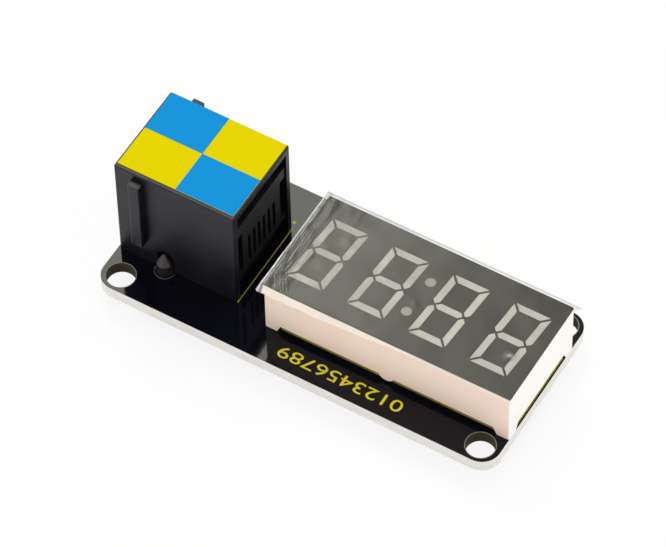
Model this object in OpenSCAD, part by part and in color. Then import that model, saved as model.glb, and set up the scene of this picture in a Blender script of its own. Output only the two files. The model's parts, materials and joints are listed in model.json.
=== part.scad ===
// Four digit clock display module: a display and a six way jack on one board.
// The board's long side runs along X, the jack's mouth faces -X and the digits
// read from the front, -Y. The origin is on the surface that the module stands
// on, under the middle of the board.

/* [Board] */
// Length of the board
board_l = 49.6; // [49:0.1:60]
// Width of the board
board_w = 22.3; // [21:0.1:30]
// Thickness of the board
board_t = 1.6; // [1:0.1:2]
// Radius of the board's corners
board_corner_r = 2.2; // [1:0.1:3]
// Diameter of the four fixing holes
hole_d = 3.3; // [2:0.1:3.4]
// Distance of the fixing holes along the board
hole_span_x = 45; // [44:0.1:45.2]
// Distance of the fixing holes across the board
hole_span_y = 18.1; // [17.9:0.1:18.3]
// Gap round a pin, a wire or a post in its hole
hole_gap = 0.15; // [0.1:0.05:0.25]

/* [Jack housing] */
// Length of the jack, from its mouth to its back
jack_l = 15; // [14.6:0.05:17]
// Width of the jack across the board
jack_w = 11.7; // [11.5:0.1:12]
// Height of the jack above the board
jack_h = 14.5; // [14.2:0.1:18]
// Distance of the mouth from the end of the board
jack_inset = 0.15; // [0:0.05:1]
// Radius of the upright edges of the housing
jack_corner_r = 0.25; // [0.1:0.05:0.6]
// Radius of the top edges of the housing
jack_top_r = 0.15; // [0.1:0.05:0.4]
// Thickness of the top wall
jack_top_wall = 0.8; // [0.6:0.1:1]
// Thickness of the side walls round the contact carrier
jack_side_wall = 0.8; // [0.7:0.05:0.9]
// Width of the room for the plug
plug_w = 9.8; // [9.7:0.05:9.9]
// Height of the room for the plug
plug_h = 6.8; // [6.6:0.05:7]
// Depth of the room for the plug
plug_depth = 11.3; // [11:0.1:11.4]
// Height of the floor under the plug
plug_floor = 3.4; // [3.3:0.05:3.6]
// Width of the channel for the plug's latch
latch_w = 6.4; // [6:0.1:7]
// Width of the gap that the latch's tongue passes at the mouth
latch_gap_w = 4; // [3.5:0.1:5]
// Thickness of the two shoulders that hold the latch
latch_lip = 1.5; // [1.2:0.1:2]
// Height of the floor under the latch
latch_floor = 1.2; // [0.8:0.1:1.6]
// Depth of the shallow recess round the mouth
mouth_recess = 0.3; // [0.2:0.05:0.4]
// Width of the shallow recess round the mouth
mouth_rim = 0.25; // [0.15:0.05:0.35]
// Width of the rib on each side wall
rib_w = 1.4; // [1:0.1:2]
// Distance that each rib stands out
rib_out = 1; // [0.6:0.1:1.5]
// Distance of the ribs from the mouth
rib_x = 2.3; // [1.5:0.05:3]
// Height of the foot of each rib above the board
rib_z0 = 3.4; // [2:0.1:5]
// Distance of the top of each rib below the top of the housing
rib_drop = 0.8; // [0.5:0.1:2]
// Diameter of the two posts under the housing
post_d = 2.4; // [2:0.1:2.6]
// Distance of the posts from the mouth
post_x = 9; // [8.7:0.1:9.3]
// Distance of the posts from each other
post_span = 8.4; // [8:0.1:8.8]

/* [Contact carrier] */
// Thickness of the carrier's upright panel
panel_t = 2.4; // [2.2:0.1:2.6]
// Distance of the panel behind the rim of the housing
panel_recess = 0.2; // [0.1:0.05:0.4]
// Height of the panel's lower edge above the board
panel_z0 = 3; // [2.8:0.1:3.3]
// Height of the panel's upper edge above the board
panel_z1 = 11.6; // [11.5:0.05:11.8]
// Gap between the carrier and the housing
carrier_gap = 0.05; // [0.03:0.01:0.1]
// Width of the pocket at each side of the panel
pocket_w = 1.1; // [0.8:0.1:1.3]
// Height of the lower edge of the pockets
pocket_z0 = 3.8; // [3.6:0.1:4]
// Height of the upper edge of the pockets
pocket_z1 = 10; // [9.5:0.1:10.3]
// Depth of the pockets
pocket_depth = 1.4; // [0.8:0.1:1.8]
// Height of the upper end of the comb's slots
comb_z1 = 8.2; // [7.5:0.1:9]
// Depth of the comb's slots
comb_depth = 1.75; // [1.6:0.05:1.85]
// Thickness of the carrier's skirt behind the wires
skirt_wall = 0.25; // [0.2:0.05:0.5]
// Thickness of the tongue over the plug
tongue_t = 1.15; // [1:0.05:1.2]
// Width of the tongue
tongue_w = 7.9; // [7.5:0.1:8.1]
// Distance of the tongue's nose from the mouth
tongue_x0 = 2.2; // [2.1:0.05:2.6]

/* [Contact springs] */
// Number of contacts
contact_n = 6; // [4:2:6]
// Distance between contacts
contact_pitch = 1.02; // [1:0.01:1.05]
// Diameter of the contact wire
wire_d = 0.46; // [0.4:0.02:0.5]
// Gap round a wire in its groove
wire_gap = 0.05; // [0.03:0.01:0.06]
// Radius of the bends in the wire
wire_bend_r = 0.55; // [0.5:0.05:0.6]
// Angle at which the springs slope into the plug's room
spring_slope = 13; // [10:0.5:14]
// Length of the sloping end of the springs
spring_l = 7.9; // [7:0.1:8.2]
// Distance between the two rows of tails
tail_row = 2.54; // [2.2:0.02:2.6]
// Height at which the front tails run under the housing
tail_run_z = 1.4; // [1.2:0.1:1.6]
// Length of the tails below the board
tail_drop = 1.6; // [1.2:0.1:1.8]

/* [Colour label] */
// Distance of the label from the housing's edge over the mouth
label_in_mouth = 0.25; // [0.1:0.05:1]
// Distance of the label from the housing's edge over the back
label_in_back = 0.25; // [0.1:0.05:1]
// Distance of the label from the housing's edge on the front side
label_in_front = 0.5; // [0.25:0.05:1]
// Distance of the label from the housing's edge on the rear side
label_in_rear = 0.1; // [0.1:0.05:1]
// Thickness of the label
label_t = 0.1; // [0.08:0.01:0.2]
// Thickness of the printed fields
print_t = 0.03; // [0.02:0.01:0.05]

/* [Pegs] */
// Distance of the two pegs from the mouth
peg_x = 5.95; // [5.65:0.05:6.15]
// Distance of the pegs from each other
peg_span = 12.1; // [12:0.05:12.3]
// Diameter of the shank
peg_d = 1.8; // [1.6:0.05:1.9]
// Diameter of the shoulder that fills the board's hole
peg_shoulder_d = 2.25; // [2.1:0.05:2.4]
// Height of the shank above the board
peg_shank_h = 1.45; // [1.2:0.05:1.6]
// Height of the pointed tip
peg_tip_h = 1.4; // [1.2:0.05:1.5]
// Diameter of the head under the board
peg_head_d = 3.4; // [3:0.1:3.6]
// Thickness of the head
peg_head_t = 0.7; // [0.5:0.05:1]
// Gap between a peg and the jack's side
peg_gap = 0.15; // [0.1:0.05:0.3]
// Depth of the shoulder's top below the board's top
peg_sink = 0.35; // [0.2:0.05:0.5]

/* [Display housing] */
// Length of the display
disp_l = 30.2; // [30:0.1:32]
// Width of the display
disp_w = 14; // [13.5:0.1:14.2]
// Height of the display above the board
disp_h = 7.2; // [6.8:0.1:9]
// Distance of the display from the end of the board
disp_inset = 0; // [0:0.05:0.4]
// Radius of the upright edges of the shell
disp_corner_r = 0.2; // [0.1:0.05:0.4]
// Thickness of the shell's walls
shell_wall = 0.9; // [0.7:0.05:1.1]
// Height of the feet
foot_h = 1.05; // [0.7:0.05:1.15]
// Width of the feet at the corners
foot_w = 1.5; // [1.2:0.1:2.5]
// Width of the round foot in the middle of each long side
mid_foot_w = 1.8; // [1.5:0.1:3]
// Height of the round foot, which stops short of the board
mid_foot_h = 0.65; // [0.3:0.05:0.65]
// Depth of the light channels under the face
channel_h = 3.8; // [3.5:0.1:3.9]
// Slope of the feet's shoulders
foot_slope = 0.45; // [0.1:0.05:0.6]
// Thickness of the grey mask on the face
mask_t = 0.05; // [0.03:0.01:0.08]

/* [Digits] */
// Distance between digits
digit_pitch = 7.5; // [7.3:0.05:7.6]
// Height of a digit
digit_h = 9.05; // [8.6:0.05:9.2]
// Width of a digit
digit_w = 4.55; // [4.1:0.05:4.6]
// Width of a segment
stroke = 0.84; // [0.7:0.01:1.1]
// Gap between segments
segment_gap = 0.24; // [0.15:0.01:0.3]
// Angle at which the digits lean
digit_slant = 4; // [0:0.5:8]
// Diameter of the colon's dots
colon_d = 1.2; // [1:0.05:1.3]
// Distance between the colon's dots
colon_span = 4.6; // [4:0.1:5]
// Gap round the cast light bars
cast_gap = 0.02; // [0.01:0.01:0.04]

/* [Light emitters and pins] */
// Thickness of the emitter board inside the display
emitter_board_t = 1; // [0.8:0.1:1.2]
// Width of an emitter die
die_w = 0.3; // [0.2:0.05:0.4]
// Height of an emitter die
die_h = 0.2; // [0.15:0.05:0.25]
// Gap round a die in its light bar
die_gap = 0.03; // [0.02:0.01:0.05]
// Distance of the cast resin's lower face from the feet's edge
resin_recess = 0.3; // [0.2:0.05:0.5]
// Number of pins in each row
pin_n = 6; // [4:1:6]
// Distance between pins
pin_pitch = 2.54; // [2.5:0.01:2.6]
// Distance between the two rows of pins
pin_row_span = 10.16; // [10:0.02:10.3]
// Diameter of the pins
pin_d = 0.5; // [0.4:0.05:0.6]
// Length of the pins and posts below the board
pin_drop = 1.8; // [1.75:0.05:2.5]

/* [Solder joints] */
// Diameter of a solder joint at the board
solder_d = 1.7; // [1.4:0.05:1.9]
// Diameter of a solder joint at its tip
solder_tip_d = 0.75; // [0.7:0.05:0.9]
// Height of a solder joint
solder_h = 1; // [0.7:0.05:1.2]

/* [Driver chip] */
// Number of leads on each side
lead_n = 8; // [6:1:8]
// Distance between leads
lead_pitch = 1.27; // [1.2:0.01:1.3]
// Length of the chip's body
chip_l = 9.9; // [9.8:0.1:10.2]
// Width of the chip's body
chip_w = 3.9; // [3.7:0.1:4]
// Thickness of the chip's body
chip_t = 1.4; // [1.2:0.05:1.5]
// Gap between the chip and the board
chip_standoff = 0.15; // [0.1:0.05:0.2]
// Width over the leads
lead_span = 6; // [5.8:0.1:6.2]
// Width of a lead
lead_w = 0.42; // [0.35:0.01:0.5]
// Thickness of a lead
lead_t = 0.2; // [0.15:0.01:0.22]
// Length of a lead's foot
lead_foot = 0.65; // [0.5:0.05:0.7]

/* [Resistors and capacitors] */
// Length of a chip component
comp_l = 1.6; // [1.5:0.05:1.7]
// Width of a chip component
comp_w = 0.8; // [0.7:0.05:0.9]
// Thickness of a resistor
resistor_t = 0.45; // [0.4:0.05:0.6]
// Thickness of a capacitor
capacitor_t = 0.8; // [0.7:0.05:0.9]
// Length of a metal end cap
cap_end_l = 0.3; // [0.2:0.05:0.4]
// Distance of the components' columns from the driver chip's body
comp_offset = 5.5; // [5:0.1:6]
// Distance between neighbouring components
comp_pitch = 2.2; // [2:0.1:2.4]

/* [Printed lines] */
// Width of the display's printed outline
outline_w = 0.24; // [0.1:0.01:0.3]
// Distance of the outline inside the display's end walls
outline_in_end = 0.18; // [0.1:0.01:0.4]
// Distance of the outline inside the display's long walls
outline_in_side = 0.42; // [0.1:0.01:0.5]
// Width of the printed line behind the jack
jack_line_w = 0.1; // [0.05:0.01:0.2]
// Distance of that line from the jack
jack_line_out = 0.03; // [0.02:0.01:0.2]
// Diameter of the printed dot beside the jack's rear corner
dot_d = 0.4; // [0.3:0.05:0.6]
// Distance of the dot's middle from the jack's side
dot_out = 0.7; // [0.4:0.05:1]

/* [Protective film] */
// Thickness of the film
film_t = 0.08; // [0.05:0.01:0.15]
// Distance that the film stands over the display's left end
film_over_l = 0.6; // [0:0.1:1]
// Distance that the film stands over the display's back edge
film_over_b = 0.35; // [0:0.05:1]

/* [Hidden] */
$fn = 64;
// Distance that a cutter runs past the face that it cuts
cut = 0.5;
// Gap round a part that is soldered, cast or pressed in
fit_gap = 0.02;
digit_n = 4;
capacitor_n = 3;
resistor_n = 4;

board_z0 = pin_drop;
board_z1 = pin_drop + board_t;
jack_x0 = -board_l / 2 + jack_inset;
disp_x0 = board_l / 2 - disp_inset - disp_l;
disp_mid_x = disp_x0 + disp_l / 2;

panel_x1 = jack_l - panel_recess;
panel_x0 = panel_x1 - panel_t;
room_x0 = panel_x0 - carrier_gap;
room_half_w = jack_w / 2 - jack_side_wall;
panel_half_w = room_half_w - carrier_gap;
plug_top = plug_floor + plug_h;
tongue_z0 = panel_z1 - tongue_t;
groove_w = wire_d + 2 * wire_gap;
wire_x = panel_x1 - comb_depth + wire_gap + wire_d / 2;
wire_top_z = tongue_z0 + wire_bend_r;
groove_x1 = wire_x + wire_d / 2 + wire_gap;
front_tail_x = wire_x - tail_row;
label_x1 = jack_l - label_in_back;
label_y0 = label_in_front - jack_w / 2;
label_y1 = jack_w / 2 - label_in_rear;
label_z = jack_h + label_t;

face_z = disp_h - mask_t;
deck_z0 = disp_h - channel_h;
emitter_z0 = deck_z0 - emitter_board_t;
resin_z0 = foot_h + resin_recess;
inner_l = disp_l - 2 * shell_wall;
inner_w = disp_w - 2 * shell_wall;
lean = tan(digit_slant);
comp_x = disp_mid_x - chip_l / 2 - comp_offset;
resistor_x = comp_x - 2 * comp_l;

function contact_y(i) = (i - (contact_n - 1) / 2) * contact_pitch;
function digit_x(i) = disp_mid_x + (i - (digit_n - 1) / 2) * digit_pitch;
function pin_x(i) = disp_mid_x + (i - (pin_n - 1) / 2) * pin_pitch;
function lead_x(i) = disp_mid_x + (i - (lead_n - 1) / 2) * lead_pitch;
function comp_y(i, n) = (i - (n - 1) / 2) * comp_pitch;

// Outlines of the segments of an upright digit about its middle. An inset makes
// each of them smaller all round. The order is top, upper right, lower right,
// bottom, lower left, upper left, middle.
function flipped(points, sx, sy) = [for (p = points) [sx * p[0], sy * p[1]]];
function leaned(points) = [for (p = points) [p[0] + lean * p[1], p[1]]];
function top_bar(a, b, t, m) = [[-a + m, b], [a - m, b], [a - t - m, b - t], [-a + t + m, b - t]];
function side_bar(a, b, t, m, e) =
    [[-a, b - m], [-a + t, b - t - m], [-a + t, t / 2 + e], [-a + t / 2, e], [-a, t / 2 + e]];
function middle_bar(a, t, k) = [
    [-a + t / 2 + k, 0], [-a + t + k, t / 2], [a - t - k, t / 2],
    [a - t / 2 - k, 0], [a - t - k, -t / 2], [-a + t + k, -t / 2]
];
function segment_outlines(inset) = let (
    a = digit_w / 2 - inset,
    b = digit_h / 2 - inset,
    t = stroke - 2 * inset,
    m = (segment_gap / 2 + inset) * sqrt(2),
    e = segment_gap / 2 + inset * sqrt(2),
    k = segment_gap * sqrt(2) - e + 2 * inset * sqrt(2),
    top = top_bar(a, b, t, m),
    side = side_bar(a, b, t, m, e)
) [
    top, flipped(side, -1, 1), flipped(side, -1, -1), flipped(top, 1, -1),
    flipped(side, 1, -1), side, middle_bar(a, t, k)
];
// The middle of each segment, where its emitter sits
function segment_middles() = let (x = (digit_w - stroke) / 2, y = (digit_h - stroke) / 2)
    leaned([[0, y], [x, y / 2], [x, -y / 2], [0, -y], [-x, -y / 2], [-x, y / 2], [0, 0]]);
function colon_middles() = leaned([[0, colon_span / 2], [0, -colon_span / 2]]);

module rounded_rect(l, w, r) {
    square([l - 2 * r, w], center = true);
    square([l, w - 2 * r], center = true);
    for (x = [-1, 1], y = [-1, 1])
        translate([x * (l / 2 - r), y * (w / 2 - r)]) circle(r);
}

// An upright rectangle whose two top corners are round
module round_topped(w, h, r) {
    translate([-w / 2, 0]) square([w, h - r]);
    translate([-w / 2 + r, 0]) square([w - 2 * r, h]);
    for (x = [-1, 1]) translate([x * (w / 2 - r), h - r]) circle(r);
}

module box(x0, x1, y0, y1, z0, z1) {
    translate([x0, y0, z0]) cube([x1 - x0, y1 - y0, z1 - z0]);
}

// A box that lies evenly about the middle line of the board
module mid_box(x0, x1, w, z0, z1) {
    box(x0, x1, -w / 2, w / 2, z0, z1);
}

module on_board() {
    translate([0, 0, board_z1]) children();
}

module under_board() {
    translate([0, 0, board_z0]) children();
}

module at_jack() {
    translate([jack_x0, 0, board_z1]) children();
}

module at_fixing_holes() {
    for (x = [-1, 1], y = [-1, 1])
        translate([x * hole_span_x / 2, y * hole_span_y / 2]) children();
}

module at_pins() {
    for (i = [0 : pin_n - 1], y = [-1, 1])
        translate([pin_x(i), y * pin_row_span / 2]) children();
}

module at_back_tails() {
    for (i = [0 : 2 : contact_n - 1]) translate([jack_x0 + wire_x, contact_y(i)]) children();
}

module at_front_tails() {
    for (i = [1 : 2 : contact_n - 1]) translate([jack_x0 + front_tail_x, contact_y(i)]) children();
}

module at_digit(i) {
    translate([digit_x(i), 0]) children();
}

module at_dies() {
    for (i = [0 : digit_n - 1], p = segment_middles()) at_digit(i) translate(p) children();
    for (p = colon_middles()) translate([disp_mid_x, 0]) translate(p) children();
}

module circuit_board() {
    color("#14151a") under_board() linear_extrude(board_t) difference() {
        rounded_rect(board_l, board_w, board_corner_r);
        at_fixing_holes() circle(d = hole_d);
        at_pins() circle(d = pin_d + 2 * hole_gap);
        at_back_tails() circle(d = wire_d + 2 * hole_gap);
        at_front_tails() circle(d = wire_d + 2 * hole_gap);
        for (y = [-1, 1]) {
            translate([jack_x0 + peg_x, y * peg_span / 2]) circle(d = peg_shoulder_d + 2 * fit_gap);
            translate([jack_x0 + post_x, y * post_span / 2]) circle(d = post_d + 2 * fit_gap);
        }
    }
}

// Printed lines: the display's outline between its feet, the jack's back edge and a dot
module board_print() {
    l = disp_l - 2 * outline_in_end;
    w = disp_w - 2 * outline_in_side;
    foot_room = 2 * (foot_w + outline_w);
    line_x = jack_x0 + jack_l + jack_line_out;
    color("#b9b23a") on_board() linear_extrude(print_t) {
        translate([disp_mid_x, 0]) intersection() {
            difference() {
                square([l, w], center = true);
                square([l - 2 * outline_w, w - 2 * outline_w], center = true);
            }
            union() {
                square([disp_l - foot_room, disp_w], center = true);
                square([disp_l, disp_w - foot_room], center = true);
            }
        }
        translate([line_x, -jack_w / 2]) square([jack_line_w, jack_w]);
        translate([line_x - dot_d / 2, jack_w / 2 + dot_out]) circle(d = dot_d);
    }
}

// The block of the housing: plain below, with round upright and top edges
module jack_block() {
    intersection() {
        translate([jack_l / 2, 0, 0]) linear_extrude(jack_h)
            rounded_rect(jack_l, jack_w, jack_corner_r);
        rotate([90, 0, 90]) linear_extrude(jack_l) round_topped(jack_w, jack_h, jack_top_r);
        translate([jack_l / 2, jack_w / 2, 0]) rotate([90, 0, 0])
            linear_extrude(jack_w) round_topped(jack_l, jack_h, jack_top_r);
    }
}

// The room for the plug, with the channel and the two shoulders for its latch
module plug_room() {
    latch_z1 = plug_floor + cut;
    mid_box(-cut, plug_depth, plug_w, plug_floor, plug_top);
    mid_box(-cut, mouth_recess, plug_w + 2 * mouth_rim, plug_floor - mouth_rim, plug_top + mouth_rim);
    mid_box(-cut, latch_lip + cut, latch_gap_w, latch_floor, latch_z1);
    mid_box(latch_lip, front_tail_x - 2 * wire_d, latch_w, latch_floor, latch_z1);
}

// The room for the contact carrier, open at the back, and the way of the front tails
module carrier_room() {
    room_z1 = jack_h - jack_top_wall;
    nose_x0 = tongue_x0 - wire_bend_r - wire_d / 2 - 2 * wire_gap;
    mid_box(room_x0, jack_l + cut, 2 * room_half_w, -cut, room_z1);
    mid_box(nose_x0, jack_l, tongue_w + 2 * carrier_gap, plug_top - cut, room_z1);
    mid_box(front_tail_x - wire_d, room_x0 + cut, latch_w, -cut, tail_run_z + wire_d);
}

// Relief in each side wall, round the peg that stands beside it
module peg_relief() {
    relief_r = peg_d / 2 + peg_gap;
    dome_z = peg_shank_h + peg_tip_h + peg_gap - relief_r;
    for (y = [-1, 1]) translate([peg_x, y * peg_span / 2, 0]) {
        translate([0, 0, -cut]) cylinder(h = dome_z + cut, r = relief_r);
        translate([0, 0, dome_z]) sphere(relief_r);
    }
}

module side_ribs() {
    rib_h = jack_h - rib_drop - rib_z0;
    for (y = [-1, 1]) translate([rib_x + rib_w / 2, y * jack_w / 2, rib_z0])
        linear_extrude(rib_h) rounded_rect(rib_w, 2 * rib_out, jack_top_r);
}

module jack_post() {
    chamfer = 0.3;
    post_l = board_t + pin_drop;
    translate([0, 0, -post_l + chamfer]) cylinder(h = post_l - chamfer, d = post_d);
    translate([0, 0, -post_l]) cylinder(h = chamfer, d1 = post_d - 2 * chamfer, d2 = post_d);
}

module jack_housing() {
    color("#1b1b1d") at_jack() {
        difference() {
            union() {
                jack_block();
                side_ribs();
            }
            plug_room();
            carrier_room();
            peg_relief();
        }
        for (y = [-1, 1]) translate([post_x, y * post_span / 2, 0]) jack_post();
    }
}

// A panel with side pockets and a comb of slots, a set-back skirt down to the board
// and a tongue over the plug's room
module contact_carrier() {
    color("#232326") at_jack() difference() {
        union() {
            mid_box(panel_x0, panel_x1, 2 * panel_half_w, panel_z0, panel_z1);
            mid_box(panel_x0, groove_x1 + skirt_wall, 2 * panel_half_w, carrier_gap, panel_z0 + cut);
            mid_box(tongue_x0, panel_x0 + cut, tongue_w, tongue_z0, panel_z1);
        }
        side_pocket();
        mirror([0, 1, 0]) side_pocket();
        for (i = [0 : contact_n - 1]) translate([0, contact_y(i), 0]) contact_groove();
    }
}

// A pocket that a thin tab closes below
module side_pocket() {
    box(panel_x1 - pocket_depth, panel_x1 + cut, panel_half_w - pocket_w, panel_half_w + cut,
        pocket_z0, pocket_z1);
}

// The way of one wire: in below the panel, up behind the comb, then forward along
// the tongue
module contact_groove() {
    groove_x0 = groove_x1 - groove_w;
    mid_box(panel_x0 - cut, groove_x1, groove_w, -cut, tail_run_z + wire_bend_r);
    mid_box(groove_x0, groove_x1, groove_w, 0, comb_z1 + cut);
    mid_box(groove_x0, panel_x1 + cut, groove_w, pocket_z0, comb_z1);
    mid_box(panel_x0 - cut, groove_x1, groove_w, comb_z1, panel_z1 + cut);
    mid_box(tongue_x0 - cut, panel_x0, groove_w, wire_top_z - groove_w / 2, panel_z1 + cut);
}

// A straight piece of contact wire between two points in the XZ plane
module wire_run(p, q) {
    d = q - p;
    translate([p[0], 0, p[1]]) rotate([0, atan2(d[0], d[1]), 0]) cylinder(h = norm(d), d = wire_d);
}

// A bend of contact wire about a point in the XZ plane, from one angle to another
module wire_bend(c, from, to) {
    translate([c[0], 0, c[1]]) rotate([90, 0, 0]) rotate([0, 0, from])
        rotate_extrude(angle = to - from) translate([wire_bend_r, 0]) circle(d = wire_d);
}

// The part that all contacts share: up the comb, forward on the tongue, round its
// nose and back down into the plug's room
module contact_spring(z0) {
    r = wire_bend_r;
    nose = [tongue_x0, wire_top_z - r];
    nose_end = nose + r * [-sin(spring_slope), -cos(spring_slope)];
    wire_run([wire_x, z0], [wire_x, wire_top_z - r]);
    wire_bend([wire_x - r, wire_top_z - r], 0, 90);
    wire_run([wire_x - r, wire_top_z], [tongue_x0, wire_top_z]);
    wire_bend(nose, 90, 270 - spring_slope);
    translate([nose_end[0], 0, nose_end[1]]) sphere(d = wire_d);
    wire_run(nose_end, nose_end + spring_l * [cos(spring_slope), -sin(spring_slope)]);
}

module back_row_contacts() {
    color("#c9a227") at_jack() for (i = [0 : 2 : contact_n - 1])
        translate([0, contact_y(i), 0]) contact_spring(-board_t - tail_drop);
}

module front_row_contacts() {
    r = wire_bend_r;
    color("#c9a227") at_jack() for (i = [1 : 2 : contact_n - 1]) translate([0, contact_y(i), 0]) {
        wire_run([front_tail_x, -board_t - tail_drop], [front_tail_x, tail_run_z - r]);
        wire_bend([front_tail_x + r, tail_run_z - r], 90, 180);
        wire_run([front_tail_x + r, tail_run_z], [wire_x - r, tail_run_z]);
        wire_bend([wire_x - r, tail_run_z + r], -90, 0);
        contact_spring(tail_run_z + r);
    }
}

module colour_label() {
    color("#e6d600") at_jack()
        box(label_in_mouth, label_x1, label_y0, label_y1, jack_h, label_z);
}

// The two blue fields of the check: rear left and front right
module label_blue_fields() {
    mid_x = (label_in_mouth + label_x1) / 2;
    mid_y = (label_y0 + label_y1) / 2;
    color("#1a96e4") at_jack() {
        box(label_in_mouth, mid_x, mid_y, label_y1, label_z, label_z + print_t);
        box(mid_x, label_x1, label_y0, mid_y, label_z, label_z + print_t);
    }
}

// Pointed peg pressed up through the board, with its head below
module peg() {
    point_r = 0.12;
    head_z1 = -board_t;
    rotate_extrude() polygon([
        [0, head_z1 - peg_head_t], [peg_head_d / 2, head_z1 - peg_head_t],
        [peg_head_d / 2, head_z1], [peg_shoulder_d / 2, head_z1],
        [peg_shoulder_d / 2, -peg_sink], [peg_d / 2, -peg_sink],
        [peg_d / 2, peg_shank_h], [point_r, peg_shank_h + peg_tip_h], [0, peg_shank_h + peg_tip_h]
    ]);
}

module front_peg() {
    color("#2a211f") at_jack() translate([peg_x, -peg_span / 2, 0]) peg();
}

module back_peg() {
    color("#2a211f") at_jack() translate([peg_x, peg_span / 2, 0]) peg();
}

module digit_2d(inset) {
    for (outline = segment_outlines(inset)) polygon(leaned(outline));
}

module colon_2d(inset) {
    for (p = colon_middles()) translate([disp_mid_x, 0]) translate(p) circle(d = colon_d - 2 * inset);
}

module all_segments_2d() {
    for (i = [0 : digit_n - 1]) at_digit(i) digit_2d(0);
    colon_2d(0);
}

// The gaps between the corner feet, cut through the walls from side to side
module foot_gap(w, depth) {
    half = w / 2 - foot_w;
    translate([0, depth / 2 + cut, 0]) rotate([90, 0, 0]) linear_extrude(depth + 2 * cut) polygon([
        [-half, -cut], [-half, 0], [-half + foot_slope, foot_h],
        [half - foot_slope, foot_h], [half, 0], [half, -cut]
    ]);
}

module mid_foot() {
    r = mid_foot_w * mid_foot_w / (8 * mid_foot_h) + mid_foot_h / 2;
    translate([0, 0, foot_h - mid_foot_h]) intersection() {
        translate([0, 0, r]) rotate([90, 0, 0]) cylinder(h = shell_wall, r = r, center = true);
        box(-mid_foot_w, mid_foot_w, -shell_wall, shell_wall, 0, mid_foot_h);
    }
}

// White shell: a deck with light channels, and walls with feet
module display_shell() {
    color("#f1e9df") on_board() {
        translate([disp_mid_x, 0, 0]) {
            difference() {
                linear_extrude(face_z) rounded_rect(disp_l, disp_w, disp_corner_r);
                mid_box(-inner_l / 2, inner_l / 2, inner_w, -cut, deck_z0);
                foot_gap(disp_l, disp_w);
                rotate([0, 0, 90]) foot_gap(disp_w, disp_l);
                translate([-disp_mid_x, 0, deck_z0 - cut])
                    linear_extrude(channel_h + 2 * cut) all_segments_2d();
            }
            for (y = [-1, 1]) translate([0, y * (disp_w - shell_wall) / 2, 0]) mid_foot();
        }
    }
}

module face_mask() {
    color("#55565a") on_board() translate([0, 0, face_z]) linear_extrude(mask_t) difference() {
        translate([disp_mid_x, 0]) rounded_rect(disp_l, disp_w, disp_corner_r);
        all_segments_2d();
    }
}

module at_emitters() {
    on_board() translate([0, 0, deck_z0]) children();
}

// Pockets of the cast light bars, round the dies
module die_pockets() {
    w = die_w + 2 * die_gap;
    at_dies() translate([-w / 2, -w / 2, -cut]) cube([w, w, die_h + die_gap + cut]);
}

module digit_light_bars(i) {
    color("#d9d5c6") at_emitters() difference() {
        linear_extrude(channel_h) at_digit(i) digit_2d(cast_gap);
        die_pockets();
    }
}

module digit_1_light_bars() {
    digit_light_bars(0);
}

module digit_2_light_bars() {
    digit_light_bars(1);
}

module digit_3_light_bars() {
    digit_light_bars(2);
}

module digit_4_light_bars() {
    digit_light_bars(3);
}

module colon_light_bars() {
    color("#d9d5c6") at_emitters() difference() {
        linear_extrude(channel_h) colon_2d(cast_gap);
        die_pockets();
    }
}

module emitter_board() {
    l = inner_l - 2 * hole_gap;
    w = inner_w - 2 * hole_gap;
    color("#e8e4d2") on_board() translate([0, 0, emitter_z0]) linear_extrude(emitter_board_t)
        difference() {
            translate([disp_mid_x, 0]) square([l, w], center = true);
            at_pins() circle(d = pin_d + 2 * fit_gap);
        }
}

module emitter_dies() {
    color("#c8453a") at_emitters() at_dies()
        translate([-die_w / 2, -die_w / 2, 0]) cube([die_w, die_w, die_h]);
}

module cast_resin() {
    color("#e4dccb") on_board() translate([0, 0, resin_z0]) linear_extrude(emitter_z0 - resin_z0)
        difference() {
            translate([disp_mid_x, 0]) square([inner_l - 2 * fit_gap, inner_w - 2 * fit_gap], center = true);
            at_pins() circle(d = pin_d + 2 * fit_gap);
        }
}

module display_pins() {
    color("#c9ccd0") at_pins() cylinder(h = board_z1 + deck_z0 - fit_gap, d = pin_d);
}

module protective_film() {
    color("#c8d0d4", 0.4) on_board() translate([0, 0, disp_h])
        box(disp_x0 - film_over_l, disp_x0 + disp_l, -disp_w / 2, disp_w / 2 + film_over_b, 0, film_t);
}

// A cone of solder under the board, round a pin or a tail of diameter d
module solder_joint(d) {
    translate([0, 0, -solder_h]) difference() {
        cylinder(h = solder_h, d1 = solder_tip_d, d2 = solder_d);
        translate([0, 0, -cut]) cylinder(h = solder_h + 2 * cut, d = d + 2 * fit_gap);
    }
}

module display_solder_joints() {
    color("#b9bcc2") under_board() at_pins() solder_joint(pin_d);
}

module jack_solder_joints() {
    color("#b9bcc2") under_board() {
        at_back_tails() solder_joint(wire_d);
        at_front_tails() solder_joint(wire_d);
    }
}

// Half of the chip's side view: its walls taper from the lead line
module chip_profile(w) {
    taper = 0.12;
    half = w / 2;
    polygon([
        [-half + taper, -chip_t], [-half, -chip_t / 2], [-half + taper, 0],
        [half - taper, 0], [half, -chip_t / 2], [half - taper, -chip_t]
    ]);
}

module driver_chip() {
    dimple_d = 0.9;
    dimple_depth = 0.08;
    color("#1e1f21") under_board() translate([disp_mid_x, 0, -chip_standoff]) difference() {
        intersection() {
            translate([0, chip_w / 2, 0]) rotate([90, 0, 0]) linear_extrude(chip_w) chip_profile(chip_l);
            translate([-chip_l / 2, 0, 0]) rotate([90, 0, 90]) linear_extrude(chip_l) chip_profile(chip_w);
        }
        translate([dimple_d - chip_l / 2, dimple_d - chip_w / 2, -chip_t - cut])
            cylinder(h = cut + dimple_depth, d = dimple_d);
    }
}

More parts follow.
